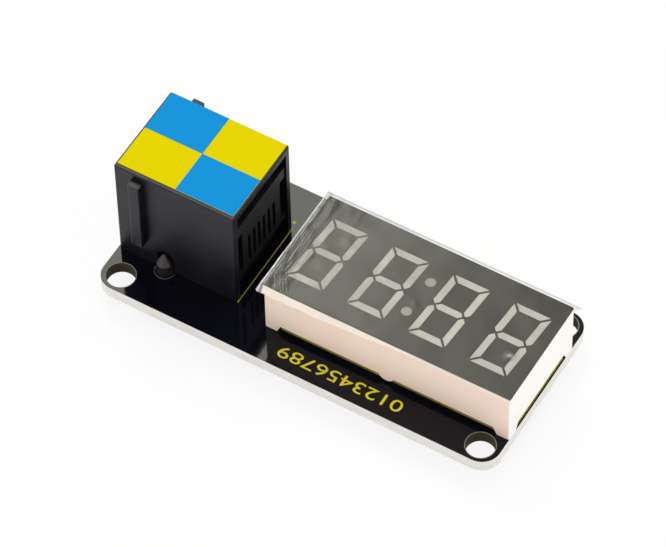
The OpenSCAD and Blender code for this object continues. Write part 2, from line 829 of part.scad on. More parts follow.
// Side view of one gull wing lead: out of the body, up to the board and along it
module lead_profile() {
    y0 = chip_w / 2;
    y2 = lead_span / 2;
    y1 = y2 - lead_foot;
    z = -chip_standoff - chip_t / 2;
    polygon([
        [y0, z - lead_t / 2], [y1 + lead_t, z - lead_t / 2], [y1 + lead_t, -lead_t], [y2, -lead_t],
        [y2, 0], [y1, 0], [y1, z + lead_t / 2], [y0, z + lead_t / 2]
    ]);
}

module driver_leads() {
    color("#c9ccd0") under_board() for (i = [0 : lead_n - 1], turn = [0, 180])
        translate([lead_x(i), 0, 0]) rotate([0, 0, turn]) translate([-lead_w / 2, 0, 0])
            rotate([90, 0, 90]) linear_extrude(lead_w) lead_profile();
}

// A chip component: its body, or its two end caps
module component_body(t) {
    mid_box(cap_end_l - comp_l / 2, comp_l / 2 - cap_end_l, comp_w, -t, 0);
}

module component_ends(t) {
    for (turn = [0, 180]) rotate([0, 0, turn])
        mid_box(comp_l / 2 - cap_end_l, comp_l / 2, comp_w, -t, 0);
}

module at_resistors() {
    under_board() for (i = [0 : resistor_n - 1])
        translate([resistor_x, comp_y(i, resistor_n), 0]) children();
}

module at_capacitors() {
    under_board() for (i = [0 : capacitor_n - 1])
        translate([comp_x, comp_y(i, capacitor_n), 0]) children();
}

module resistors() {
    color("#17181a") at_resistors() component_body(resistor_t);
}

module capacitors() {
    color("#a98f6c") at_capacitors() component_body(capacitor_t);
}

module component_end_caps() {
    color("#c9ccd0") {
        at_resistors() component_ends(resistor_t);
        at_capacitors() component_ends(capacitor_t);
    }
}

circuit_board();
board_print();
jack_housing();
contact_carrier();
back_row_contacts();
front_row_contacts();
colour_label();
label_blue_fields();
front_peg();
back_peg();
display_shell();
face_mask();
digit_1_light_bars();
digit_2_light_bars();
digit_3_light_bars();
digit_4_light_bars();
colon_light_bars();
emitter_board();
emitter_dies();
cast_resin();
display_pins();
protective_film();
display_solder_joints();
jack_solder_joints();
driver_chip();
driver_leads();
resistors();
capacitors();
component_end_caps();
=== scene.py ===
"""Looks of a clock display module: a four digit display and a six way jack on one board.

Sizes are in millimetres in the named values and in metres in Blender. +X runs
along the board from the jack to the display, and the digits read from the
front, which is -Y.
"""
import json
import math

import bmesh
import bpy
from mathutils import Matrix, Vector, noise


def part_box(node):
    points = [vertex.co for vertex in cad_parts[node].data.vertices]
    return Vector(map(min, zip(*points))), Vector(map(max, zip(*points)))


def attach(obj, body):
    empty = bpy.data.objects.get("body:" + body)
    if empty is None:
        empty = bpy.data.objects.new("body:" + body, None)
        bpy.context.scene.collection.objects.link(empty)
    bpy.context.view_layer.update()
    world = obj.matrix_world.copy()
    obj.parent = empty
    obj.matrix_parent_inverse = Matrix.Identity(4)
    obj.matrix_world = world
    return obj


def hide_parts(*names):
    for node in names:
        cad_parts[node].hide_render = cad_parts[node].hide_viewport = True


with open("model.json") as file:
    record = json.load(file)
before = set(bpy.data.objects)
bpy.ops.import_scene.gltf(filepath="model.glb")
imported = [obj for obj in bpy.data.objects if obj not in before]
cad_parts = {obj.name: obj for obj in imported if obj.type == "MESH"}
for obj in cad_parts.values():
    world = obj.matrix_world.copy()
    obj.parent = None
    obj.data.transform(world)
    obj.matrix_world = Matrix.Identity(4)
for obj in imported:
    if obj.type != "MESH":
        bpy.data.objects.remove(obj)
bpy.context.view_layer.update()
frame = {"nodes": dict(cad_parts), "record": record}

MM = 0.001

# The photograph's camera: where it stands, where it looks and how it is turned
PHOTO_WIDTH = 666
FOCAL_PIXELS = 4780.7
SENSOR_WIDTH = 36
CAMERA_AT = Vector((160.74, -262.51, 420.65)) * MM
CAMERA_AZIMUTH = math.radians(31.63)
CAMERA_ELEVATION = math.radians(53.26)
CAMERA_ROLL = math.radians(-1.33)

# Boxes of two CAD pieces, in metres, and the sizes of the fixing holes, in millimetres
BOARD_LOW, BOARD_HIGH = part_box("circuit_board")
FACE_LOW, FACE_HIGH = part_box("face_mask")
HOLES = next(m for m in frame["record"]["mounts"] if m["kind"] == "bolt_pattern")["dims"]

# Protective film over the face, in millimetres: how far it stands out, its height
# above the face, its thickness, its grid and how much the grid crowds to the left
FILM_OVER_LEFT = 0.44
FILM_OVER_BACK = 0.32
FILM_LIFT = 0.03
FILM_THICK = 0.05
FILM_COLUMNS = 260
FILM_ROWS = 120
FILM_CROWDING = 0.7
# Flap that hangs over the front edge: its width at the left, the share of the face's
# length over which it fades out, the share of its width that stays, and how far it
# slopes outwards and down for each millimetre of width
FILM_FLAP = 1.0
FILM_FLAP_REACH = 0.68
FILM_FLAP_LEAST = 0.06
FILM_FLAP_OUT = 0.6
FILM_FLAP_DOWN = 0.75
# Sharp wrinkles of the left end: distance from the film's edge, and height
FILM_WRINKLES = ((0.38, 0.05), (0.68, 0.04), (1.0, 0.055), (1.38, 0.035), (1.8, 0.03), (2.5, 0.02))
# Half widths of a wrinkle's ridge, of the painted highlight along its crest and of the painted
# shade beside it, and the distance of that painted shade from the crest
RIDGE = 0.1
CREST = 0.07
SHADE = 0.08
SHADE_OFF = 0.15
# The wrinkles fade out towards the back at this distance from the face's middle line
WRINKLES_END = 1.6
# Low bubbles under the film: place, radius and height
FILM_BUBBLES = (
    (22.0, -1.95, 0.42, 0.12), (9.8, -1.1, 0.4, 0.04),
    (-0.6, 2.3, 0.8, 0.03), (-1.7, -2.0, 0.7, 0.03),
)
# Tab at the film's back right corner: its size and how far it stands out
TAB_SIZE = 1.0
TAB_OUT = 0.7
# Height by which the cut edges curl up, and how far in they do
CURL = 0.05
CURL_REACH = 0.12
# How much more the film hides of what lies below it where it stands loose, at its cut edge, on a
# wrinkle and where it hangs; the last three are painted highlights, and on a wrinkle painted shade
# as well
COVER_LOOSE = 0.15
COVER_CUT = 0.45
COVER_WHITENING_AND_FOLD_LIGHT = 0.45
COVER_HANGING = 0.55

# Rims of the holes, in millimetres: how far those of the fixing holes stand outside
# them, half their thickness, the radius of the pegs' rims and half their thickness
HOLE_RIM_OUT = 0.05
HOLE_RIM = 0.05
PEG_RIM_RADIUS = 1.2
PEG_RIM = 0.045
# Sides of a rim's section, and steps of a full turn
RIM_SIDES = 10
RIM_STEPS = 72

# Copper tracks under the mask of the underside, in millimetres: width, rise, size of
# the vias, the corners of each line, those that repeat on both long sides of the chip,
# and the places of the vias
TRACK_WIDTH = 0.28
TRACK_RISE = 0.035
VIA_RADIUS = 0.33
VIA_SIDES = 24
TRACKS = (
    ((14.15, 3.0), (14.5, 3.35), (18.5, 3.35), (18.5, -3.35), (14.5, -3.35), (14.15, -3.0)),
    ((5.2, 0.8), (4.4, 0.8), (3.0, 2.2), (0.0, 2.2)),
    ((5.2, 0.0), (0.0, 0.0)),
    ((5.2, -0.8), (4.4, -0.8), (3.0, -2.2), (0.0, -2.2)),
    ((-1.5, 2.2), (-2.6, 1.1), (-3.2, 1.1)),
    ((-1.5, 0.0), (-2.6, -1.1), (-3.2, -1.1)),
    ((-4.7, 3.3), (-8.0, 3.3), (-9.8, 1.53), (-10.6, 1.53)),
    ((-4.7, 1.1), (-7.6, 1.1), (-9.2, -0.51), (-10.6, -0.51)),
    ((-4.7, -1.1), (-7.4, -1.1), (-8.85, -2.55), (-10.6, -2.55)),
    ((-4.7, -3.3), (-6.2, -3.3), (-7.0, -4.1), (-8.5, -4.1)),
)
CHIP_TRACKS = (
    ((5.25, 3.0), (4.9, 3.35), (-2.6, 3.35), (-3.2, 3.3)),
    ((6.52, 3.0), (6.52, 3.5), (6.1, 3.9), (3.9, 3.9), (3.4, 4.4)),
    ((7.8, 3.0), (7.8, 3.4), (6.4, 4.75)),
    ((9.06, 3.0), (9.06, 4.1), (8.7, 4.5)),
    ((10.34, 3.0), (10.34, 4.1), (10.7, 4.5)),
    ((11.6, 3.0), (11.6, 3.4), (13.0, 4.75)),
    ((12.88, 3.0), (12.88, 3.5), (13.3, 3.9), (15.5, 3.9), (16.0, 4.4)),
)
VIAS = ((-8.5, -4.1), (18.5, 0.0), (1.6, 2.2), (1.6, -2.2))

# Row of plain numbers printed in front of the display, read from the back: its
# corners and the height of the ink, in millimetres
NUMBERS = "0123456789"
NUMBERS_X = (-2.4, 12.9)
NUMBERS_Y = (-9.85, -8.35)
INK_HEIGHT = 0.02

# Soft lamps of the studio: direction, distance and size in metres, radiance and colour
LAMPS = {
    # The one whose mirror image greys the face's film and the board behind the jack
    "back_softbox": ((-0.447, 0.452, 0.772), 0.731, 0.28, 6.0, "#fffff3"),
    # A small bright one beside it, which only the wrinkles of the film mirror
    "glint_lamp": ((0.03, 0.50, 0.865), 0.8, 0.12, 14.0, "#ffffff"),
    "right_softbox": ((0.85, 0.12, 0.35), 0.8, 0.5, 1.62, "#ffffff"),
    "front_softbox": ((-0.45, -0.82, 0.42), 0.6, 0.34, 1.75, "#ffffff"),
}
# Strength of the white surroundings as light, and of white as the eye sees it
WORLD_LIGHT = 0.58
WHITE = 1.0
# Share of its own white that the table shows to the eye; the rest takes the shadow
TABLE_GLOW = 0.88
# Half the width of the table, in metres
TABLE_HALF_WIDTH = 3.0


def linear(code):
    """Linear RGBA of an sRGB hex value."""
    parts = [int(code[i:i + 2], 16) / 255 for i in (1, 3, 5)]
    return [p / 12.92 if p <= 0.04045 else ((p + 0.055) / 1.055) ** 2.4 for p in parts] + [1.0]


def per_mm(size):
    """Texture scale that gives a pattern of this many millimetres."""
    return 1 / (size * MM)


def add(tree, kind, inputs=None, **settings):
    """Adds a node. Each input is a number, a colour or the output that feeds it."""
    made = tree.nodes.new(kind)
    for name, value in settings.items():
        setattr(made, name, value)
    for key, value in (inputs or {}).items():
        if isinstance(value, bpy.types.NodeSocket):
            tree.links.new(value, made.inputs[key])
        else:
            made.inputs[key].default_value = value
    return made


def new_material(name, **sockets):
    """A material with its shader's own sockets set, such as Roughness=0.4."""
    made = bpy.data.materials.new(name)
    made.use_nodes = True
    shader = made.node_tree.nodes["Principled BSDF"]
    for key, value in sockets.items():
        shader.inputs[key.replace("_", " ")].default_value = value
    return made, made.node_tree, shader


def feed(tree, shader, **sources):
    """Links outputs to the shader's sockets, such as Base_Color=output."""
    for key, source in sources.items():
        tree.links.new(source, shader.inputs[key.replace("_", " ")])


def fine_relief(tree, place, size, detail, height):
    """Normal of a fine uneven surface, with its pattern size and height in millimetres."""
    grains = add(tree, "ShaderNodeTexNoise", {
        "Vector": place, "Scale": per_mm(size), "Detail": detail,
    })
    bump = add(tree, "ShaderNodeBump", {"Height": grains.outputs["Fac"], "Distance": height * MM})
    return bump.outputs["Normal"]


def seen_share(tree):
    """1 for what the eye sees directly, in a mirror or through glass, and 0 for light."""
    path = add(tree, "ShaderNodeLightPath")
    mirrored = add(tree, "ShaderNodeMath", {
        0: path.outputs["Is Camera Ray"], 1: path.outputs["Is Glossy Ray"],
    }, operation="MAXIMUM")
    seen = add(tree, "ShaderNodeMath", {
        0: mirrored.outputs["Value"], 1: path.outputs["Is Transmission Ray"],
    }, operation="MAXIMUM")
    return seen.outputs["Value"]


def grained(name, shades, roughness, grain, relief, blotch=3.0, **sockets):
    """A solid material whose colour and gloss wander a little over a fine grain.

    shades are the two colours between which it wanders, roughness its two
    values, grain and blotch pattern sizes and relief a height, in millimetres.
    """
    made, tree, shader = new_material(name, **sockets)
    place = add(tree, "ShaderNodeTexCoord").outputs["Object"]
    patches = add(tree, "ShaderNodeTexNoise", {
        "Vector": place, "Scale": per_mm(blotch), "Detail": 3.0,
    })
    shade = add(tree, "ShaderNodeMix", {
        "Factor": patches.outputs["Fac"], "A": linear(shades[0]), "B": linear(shades[1]),
    }, data_type="RGBA")
    gloss = add(tree, "ShaderNodeMapRange", {
        "Value": patches.outputs["Fac"], "From Min": 0.3, "From Max": 0.7,
        "To Min": roughness[0], "To Max": roughness[1],
    })
    feed(tree, shader, Base_Color=shade.outputs["Result"], Roughness=gloss.outputs["Result"],
         Normal=fine_relief(tree, place, grain, 4.0, relief))
    return made


def masked_laminate():
    """Glass-fibre laminate under glossy black solder mask: a dark mirror on both
    faces, pale milled edges with fibre layers, and brown walls in the holes."""
    made, tree, shader = new_material("glossy_black_solder_mask", IOR=1.5, Specular_IOR_Level=0.19)
    coords = add(tree, "ShaderNodeTexCoord")
    place = coords.outputs["Object"]
    normal = add(tree, "ShaderNodeSeparateXYZ", {"Vector": coords.outputs["Normal"]})
    upright = add(tree, "ShaderNodeMath", {0: normal.outputs["Z"]}, operation="ABSOLUTE")
    edge = add(tree, "ShaderNodeMath", {0: upright.outputs["Value"], 1: 0.5}, operation="LESS_THAN")
    quarter = add(tree, "ShaderNodeVectorMath", {0: place}, operation="ABSOLUTE")
    hole_at = (HOLES["spacing_x_mm"] / 2 * MM, HOLES["spacing_y_mm"] / 2 * MM, 0)
    from_hole = add(tree, "ShaderNodeVectorMath", {
        0: quarter.outputs["Vector"], 1: hole_at,
    }, operation="SUBTRACT")
    flat = add(tree, "ShaderNodeVectorMath", {
        0: from_hole.outputs["Vector"], 1: (1, 1, 0),
    }, operation="MULTIPLY")
    away = add(tree, "ShaderNodeVectorMath", {0: flat.outputs["Vector"]}, operation="LENGTH")
    wall_r = (HOLES["hole_r_mm"] + HOLE_RIM_OUT) * MM
    in_hole = add(tree, "ShaderNodeMath", {
        0: away.outputs["Value"], 1: wall_r,
    }, operation="LESS_THAN")
    layers = add(tree, "ShaderNodeMapping", {
        "Vector": place, "Scale": (per_mm(2.5), per_mm(2.5), per_mm(0.22)),
    })
    fibres = add(tree, "ShaderNodeTexNoise", {
        "Vector": layers.outputs["Vector"], "Scale": 1.0, "Detail": 3.0,
    })
    milled = add(tree, "ShaderNodeMix", {
        "Factor": fibres.outputs["Fac"], "A": linear("#d6d0ca"), "B": linear("#fffdfa"),
    }, data_type="RGBA")
    drilled = add(tree, "ShaderNodeMix", {
        "Factor": fibres.outputs["Fac"], "A": linear("#221b14"), "B": linear("#4a4029"),
    }, data_type="RGBA")
    side = add(tree, "ShaderNodeMix", {
        "Factor": in_hole.outputs["Value"],
        "A": milled.outputs["Result"], "B": drilled.outputs["Result"],
    }, data_type="RGBA")
    clouds = add(tree, "ShaderNodeTexNoise", {"Vector": place, "Scale": per_mm(6), "Detail": 2.0})
    mask = add(tree, "ShaderNodeMix", {
        "Factor": clouds.outputs["Fac"], "A": linear("#07080f"), "B": linear("#0e0f19"),
    }, data_type="RGBA")
    colour = add(tree, "ShaderNodeMix", {
        "Factor": edge.outputs["Value"], "A": mask.outputs["Result"], "B": side.outputs["Result"],
    }, data_type="RGBA")
    gloss = add(tree, "ShaderNodeMapRange", {
        "Value": edge.outputs["Value"], "To Min": 0.07, "To Max": 0.75,
    })
    feed(tree, shader, Base_Color=colour.outputs["Result"], Roughness=gloss.outputs["Result"],
         Normal=fine_relief(tree, place, 1.6, 1.0, 0.004))
    return made


def shell_plastic():
    """Moulded white polycarbonate: warm and a little peach on the long walls, where the resin
    inside tints it. The ends are painted whiter, painted light where the lamps fall on them, and a
    painted highlight band runs along the top of the walls by the face."""
    made, tree, shader = new_material(
        "moulded_white_polycarbonate", IOR=1.58, Specular_IOR_Level=0.35)
    coords = add(tree, "ShaderNodeTexCoord")
    place = coords.outputs["Object"]
    normal = add(tree, "ShaderNodeSeparateXYZ", {"Vector": coords.outputs["Normal"]})
    height = add(tree, "ShaderNodeSeparateXYZ", {"Vector": place})
    along = add(tree, "ShaderNodeMath", {0: normal.outputs["X"]}, operation="ABSOLUTE")
    # Painted light: the end faces are painted whiter, as where the lamps fall on them
    end = add(tree, "ShaderNodeMath", {0: along.outputs["Value"], 1: 0.5}, operation="GREATER_THAN")
    drift = add(tree, "ShaderNodeTexNoise", {"Vector": place, "Scale": per_mm(4), "Detail": 3.0})
    wall = add(tree, "ShaderNodeMix", {
        "Factor": drift.outputs["Fac"], "A": linear("#fadfcf"), "B": linear("#fde6d2"),
    }, data_type="RGBA")
    # Painted highlight: the top of the walls, by the face, is painted paler
    painted_highlight_band = add(tree, "ShaderNodeMapRange", {
        "Value": height.outputs["Z"],
        "From Min": FACE_HIGH.z - 0.9 * MM, "From Max": FACE_HIGH.z - 0.5 * MM,
        "To Min": 0.0, "To Max": 0.45,
    })
    highlighted_wall = add(tree, "ShaderNodeMix", {
        "Factor": painted_highlight_band.outputs["Result"], "A": wall.outputs["Result"], "B": linear("#fbf1e2"),
    }, data_type="RGBA")
    colour = add(tree, "ShaderNodeMix", {
        "Factor": end.outputs["Value"], "A": highlighted_wall.outputs["Result"], "B": linear("#fefcf8"),
    }, data_type="RGBA")
    gloss = add(tree, "ShaderNodeMapRange", {
        "Value": drift.outputs["Fac"], "To Min": 0.42, "To Max": 0.55,
    })
    feed(tree, shader, Base_Color=colour.outputs["Result"], Roughness=gloss.outputs["Result"],
         Normal=fine_relief(tree, place, 0.25, 3.0, 0.004))
    return made


def clear_film():
    """Polyethylene film, a clear glossy skin with a milky haze where it is stretched. Painted
    highlights lie on its folds, at its left cut edge and on its hanging flap, and painted shade
    lies beside the folds and towards the right end."""
    made, tree, shader = new_material("clear_polyethylene_film", IOR=1.51)
    coords = add(tree, "ShaderNodeTexCoord")
    place = coords.outputs["Object"]
    at = add(tree, "ShaderNodeSeparateXYZ", {"Vector": place})
    haze = add(tree, "ShaderNodeTexNoise", {
        "Vector": place, "Scale": per_mm(2.4), "Detail": 6.0, "Roughness": 0.65,
    })
    clear = add(tree, "ShaderNodeMapRange", {
        "Value": haze.outputs["Fac"], "From Min": 0.35, "From Max": 0.7,
        "To Min": 0.12, "To Max": 0.25,
    })
    # Its haze is thinned towards the right end, which darkens the face there: painted shade
    painted_right_shade = add(tree, "ShaderNodeMapRange", {
        "Value": at.outputs["X"], "From Min": 2 * MM, "From Max": 14 * MM,
        "To Min": 1.0, "To Max": 0.5,
    })
    haze_with_right_shade = add(tree, "ShaderNodeMath", {
        0: clear.outputs["Result"], 1: painted_right_shade.outputs["Result"],
    }, operation="MULTIPLY")
    # Where the film stands out past the face it is loose and looks milky
    over_left = add(tree, "ShaderNodeMapRange", {
        "Value": at.outputs["X"],
        "From Min": FACE_LOW.x + 0.1 * MM, "From Max": FACE_LOW.x - 0.1 * MM,
    })
    over_back = add(tree, "ShaderNodeMapRange", {
        "Value": at.outputs["Y"],
        "From Min": FACE_HIGH.y + 0.05 * MM, "From Max": FACE_HIGH.y + 0.15 * MM,
    })
    # The flap over the front edge is painted cream and hazier, a painted highlight of the light it
    # catches where it hangs, but for the corner that stands beside the shell
    flap = add(tree, "ShaderNodeMapRange", {
        "Value": at.outputs["Y"],
        "From Min": FACE_LOW.y + 0.02 * MM, "From Max": FACE_LOW.y - 0.04 * MM,
    })
    # The cut edge at the left is painted whitest, a painted highlight along the edge
    cut = add(tree, "ShaderNodeMapRange", {
        "Value": at.outputs["X"],
        "From Min": FACE_LOW.x - (FILM_OVER_LEFT - 0.2) * MM,
        "From Max": FACE_LOW.x - (FILM_OVER_LEFT - 0.1) * MM,
    })
    beside = add(tree, "ShaderNodeMath", {
        0: over_left.outputs["Result"], 1: -0.8, 2: 1.0,
    }, operation="MULTIPLY_ADD")
    hanging = add(tree, "ShaderNodeMath", {
        0: flap.outputs["Result"], 1: beside.outputs["Value"],
    }, operation="MULTIPLY")
    loose = add(tree, "ShaderNodeMath", {
        0: over_left.outputs["Result"], 1: over_back.outputs["Result"],
    }, operation="MAXIMUM")
    milky = add(tree, "ShaderNodeMath", {
        0: loose.outputs["Value"], 1: COVER_LOOSE, 2: haze_with_right_shade.outputs["Value"],
    }, operation="MULTIPLY_ADD")
    edged = add(tree, "ShaderNodeMath", {
        0: cut.outputs["Result"], 1: COVER_CUT, 2: milky.outputs["Value"],
    }, operation="MULTIPLY_ADD")
    # Painted highlights along the wrinkles' crests whiten the film, and painted shade beside them
    # darkens it
    whitening_and_fold_light = add(tree, "ShaderNodeAttribute", attribute_name="whitening_and_fold_light").outputs["Fac"]
    whitening_and_fold_light_strength = add(tree, "ShaderNodeMath", {0: whitening_and_fold_light}, operation="ABSOLUTE")
    wrinkled = add(tree, "ShaderNodeMath", {
        0: whitening_and_fold_light_strength.outputs["Value"], 1: COVER_WHITENING_AND_FOLD_LIGHT, 2: edged.outputs["Value"],
    }, operation="MULTIPLY_ADD")
    cover = add(tree, "ShaderNodeMath", {
        0: hanging.outputs["Value"], 1: COVER_HANGING, 2: wrinkled.outputs["Value"],
    }, operation="MULTIPLY_ADD", use_clamp=True)
    crest = add(tree, "ShaderNodeMapRange", {"Value": whitening_and_fold_light, "From Min": -0.4, "From Max": 0.6})
    skin = add(tree, "ShaderNodeMix", {
        "Factor": loose.outputs["Value"], "A": linear("#6c6a62"), "B": linear("#8e8e88"),
    }, data_type="RGBA")
    lines = add(tree, "ShaderNodeMix", {
        "Factor": crest.outputs["Result"], "A": linear("#45433f"), "B": linear("#b9b7ae"),
    }, data_type="RGBA")
    with_painted_fold_light = add(tree, "ShaderNodeMix", {
        "Factor": whitening_and_fold_light_strength.outputs["Value"], "A": skin.outputs["Result"], "B": lines.outputs["Result"],
    }, data_type="RGBA", clamp_factor=True)
    # Painted highlight: the left cut edge is painted nearly white
    edge = add(tree, "ShaderNodeMix", {
        "Factor": cut.outputs["Result"], "A": with_painted_fold_light.outputs["Result"], "B": linear("#dcdcd2"),
    }, data_type="RGBA")
    # Painted highlight: the hanging flap is painted cream
    tint = add(tree, "ShaderNodeMix", {
        "Factor": hanging.outputs["Value"], "A": edge.outputs["Result"], "B": linear("#fff6e8"),
    }, data_type="RGBA")
    gloss = add(tree, "ShaderNodeMapRange", {
        "Value": haze.outputs["Fac"], "To Min": 0.08, "To Max": 0.24,
    })
    feed(tree, shader, Base_Color=tint.outputs["Result"], Alpha=cover.outputs["Value"],
         Roughness=gloss.outputs["Result"], Normal=fine_relief(tree, place, 1.2, 2.0, 0.01))
    return made


def studio_floor():
    """Plain white table: it keeps a soft shadow, and reads as white to the eye."""
    made, tree, shader = new_material("white_table", Base_Color=linear("#f2f2f2"), Roughness=0.9)
    share = add(tree, "ShaderNodeMath", {0: seen_share(tree), 1: TABLE_GLOW}, operation="MULTIPLY")
    white = add(tree, "ShaderNodeEmission", {"Color": linear("#ffffff"), "Strength": WHITE})
    both = add(tree, "ShaderNodeMixShader", {
        "Fac": share.outputs["Value"], 1: shader.outputs["BSDF"], 2: white.outputs["Emission"],
    })
    # The table has no underside, so that the module can be looked at from below
    below = add(tree, "ShaderNodeNewGeometry").outputs["Backfacing"]
    nothing = add(tree, "ShaderNodeBsdfTransparent")
    table = add(tree, "ShaderNodeMixShader", {
        "Fac": below, 1: both.outputs["Shader"], 2: nothing.outputs["BSDF"],
    })
    output = tree.nodes["Material Output"]
    tree.links.new(table.outputs["Shader"], output.inputs["Surface"])
    return made


# Finishes of the pieces
SOLDER_MASK = masked_laminate()
# The same mask where it rises over copper, a little paler than over bare laminate
TRACK_MASK = grained("solder_mask_over_copper", ("#171922", "#20232e"), (0.1, 0.18), 1.0, 0.002,
                     IOR=1.5)
SHELL = shell_plastic()
FILM = clear_film()
# Screen-printed epoxy ink: flat and slightly uneven where the screen left it thin
INK = grained("yellow_screen_ink", ("#dbd220", "#f2e92c"), (0.5, 0.65), 0.15, 0.004,
              Specular_IOR_Level=0.3)
# The same ink made darker and duller for the thin lines, which lie by the walls: painted shade
SHADED_LINE_INK = grained("yellow_screen_ink_lines_painted_shade", ("#a8a02e", "#c0b63a"), (0.5, 0.65), 0.15, 0.004,
                   Specular_IOR_Level=0.3)
# Moulded PBT: black, with a soft sheen on its spark-eroded skin
JACK_PLASTIC = grained("moulded_black_pbt", ("#0b0c13", "#12131a"), (0.36, 0.46), 0.1, 0.003,
                       IOR=1.55, Specular_IOR_Level=0.25)
# The same plastic in the insert, with a duller skin
CARRIER_PLASTIC = grained("moulded_black_insert", ("#090a10", "#0f1017"), (0.42, 0.52), 0.1, 0.003,
                          IOR=1.55, Specular_IOR_Level=0.28)
# Moulded nylon of the pegs: brownish black with a waxy shine
PEG_NYLON = grained("moulded_dark_nylon", ("#1f1819", "#2c2425"), (0.25, 0.38), 0.12, 0.003,
                    IOR=1.53)
# Gold-plated spring wire: warm yellow metal, drawn smooth
GOLD = grained("gold_plated_wire", ("#c99f45", "#e3c173"), (0.2, 0.34), 0.2, 0.002, Metallic=1.0)
# Printed vinyl label: flat strong colours under a dull skin
YELLOW_VINYL = grained("yellow_vinyl_print", ("#d9c900", "#dccc00"), (0.7, 0.8), 0.2, 0.001,
                       Specular_IOR_Level=0.02)
BLUE_VINYL = grained("blue_vinyl_print", ("#138bd1", "#178fd5"), (0.7, 0.8), 0.2, 0.001,
                     Specular_IOR_Level=0.02)
# Screen-printed grey mask of the face: a dead matt paint with fine specks
FACE_INK = grained("grey_face_paint", ("#393732", "#45423c"), (0.55, 0.7), 0.09, 0.006,
                   Specular_IOR_Level=0.15)
# Cast milky epoxy of the light bars, which glows softly from within
BAR_RESIN = grained("milky_epoxy_bars", ("#bcb8ad", "#cac6ba"), (0.3, 0.42), 0.3, 0.004,
                    IOR=1.53, Subsurface_Weight=0.15, Subsurface_Scale=0.0006)
# The same resin in the two dots of the colon, cast thinner and greyer
DOT_RESIN = grained("milky_epoxy_dots", ("#8f8c83", "#9c998f"), (0.3, 0.42), 0.3, 0.004,
                    IOR=1.53, Subsurface_Weight=0.15, Subsurface_Scale=0.0006)
# Cast resin that fills the display's back: honey white, slightly sunken and glossy
BACK_RESIN = grained("cast_back_resin", ("#dcd2bd", "#e9e0cc"), (0.18, 0.3), 0.8, 0.02,
                     IOR=1.53, Subsurface_Weight=0.15, Subsurface_Scale=0.0006)
# White coat of the board below the channels, which throws the light back up
EMITTER_LAMINATE = grained("white_coated_laminate", ("#e2dec9", "#ece8d8"), (0.45, 0.6), 0.2, 0.003)
# Bare crystal of an emitter: deep red, with the hard shine of a dense crystal
EMITTER = grained("bare_emitter_crystal", ("#a8362c", "#c8453a"), (0.2, 0.3), 0.05, 0.001, IOR=3.3)
# Tin on the pins and solder joints: bright, with the faint frost of cooled solder
TIN = grained("bright_tin_solder", ("#b8bbc0", "#d5d7da"), (0.22, 0.4), 0.18, 0.006, Metallic=1.0)
# Moulded epoxy of the driver chip: charcoal grey with a dull sanded grain
CHIP_EPOXY = grained("moulded_chip_epoxy", ("#1b1c1f", "#26272a"), (0.6, 0.75), 0.06, 0.006,
                     Specular_IOR_Level=0.35)
# Glass glaze over a resistor: near black and shiny
RESISTOR_GLAZE = grained("black_resistor_glaze", ("#121315", "#1c1d20"), (0.2, 0.35), 0.2, 0.004)
# Fired ceramic of the capacitors: bare, tan and dull
CAPACITOR_CERAMIC = grained("tan_capacitor_ceramic", ("#9b8260", "#b49b78"), (0.5, 0.62), 0.1,
                            0.004)
# Bare laminate at the rims of the holes, where the mask stops short; the darker copy by the pegs is
# painted shade
RIM = grained("bare_laminate_rim", ("#726f60", "#918e7c"), (0.35, 0.5), 0.2, 0.004)
SHADED_RIM = grained("bare_laminate_rim_in_painted_shade", ("#4b4a4a", "#5d5c5d"), (0.35, 0.5), 0.2,
                     0.004)

NODE_FINISH = {
    "circuit_board": SOLDER_MASK,
    "board_print": SHADED_LINE_INK,
    "jack_housing": JACK_PLASTIC,
    "contact_carrier": CARRIER_PLASTIC,
    "back_row_contacts": GOLD,
    "front_row_contacts": GOLD,
    "colour_label": YELLOW_VINYL,
    "label_blue_fields": BLUE_VINYL,
    "front_peg": PEG_NYLON,
    "back_peg": PEG_NYLON,
    "display_shell": SHELL,
    "face_mask": FACE_INK,
    "digit_1_light_bars": BAR_RESIN,
    "digit_2_light_bars": BAR_RESIN,
    "digit_3_light_bars": BAR_RESIN,
    "digit_4_light_bars": BAR_RESIN,
    "colon_light_bars": DOT_RESIN,
    "emitter_board": EMITTER_LAMINATE,
    "emitter_dies": EMITTER,
    "cast_resin": BACK_RESIN,
    "display_pins": TIN,
    "protective_film": FILM,
    "display_solder_joints": TIN,
    "jack_solder_joints": TIN,
    "driver_chip": CHIP_EPOXY,
    "driver_leads": TIN,
    "resistors": RESISTOR_GLAZE,
    "capacitors": CAPACITOR_CERAMIC,
    "component_end_caps": TIN,
}


def dress_nodes():
    """Gives every CAD node its finish."""
    for name, made in NODE_FINISH.items():
        slots = frame["nodes"][name].data.materials
        slots.clear()
        slots.append(made)


def make_piece(mesh, name, finish):
    """Makes a piece of a finished bmesh, which rides on the one body."""
    bmesh.ops.recalc_face_normals(mesh, faces=mesh.faces)
    data = bpy.data.meshes.new(name)
    mesh.to_mesh(data)
    mesh.free()
    data.materials.append(finish)
    piece = bpy.data.objects.new(name, data)
    bpy.context.scene.collection.objects.link(piece)
    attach(piece, "root")
    return piece


def bell(distance, width):
    """1 at no distance, falling smoothly to nothing over a few widths."""
    return math.exp(-(distance / width) ** 2)


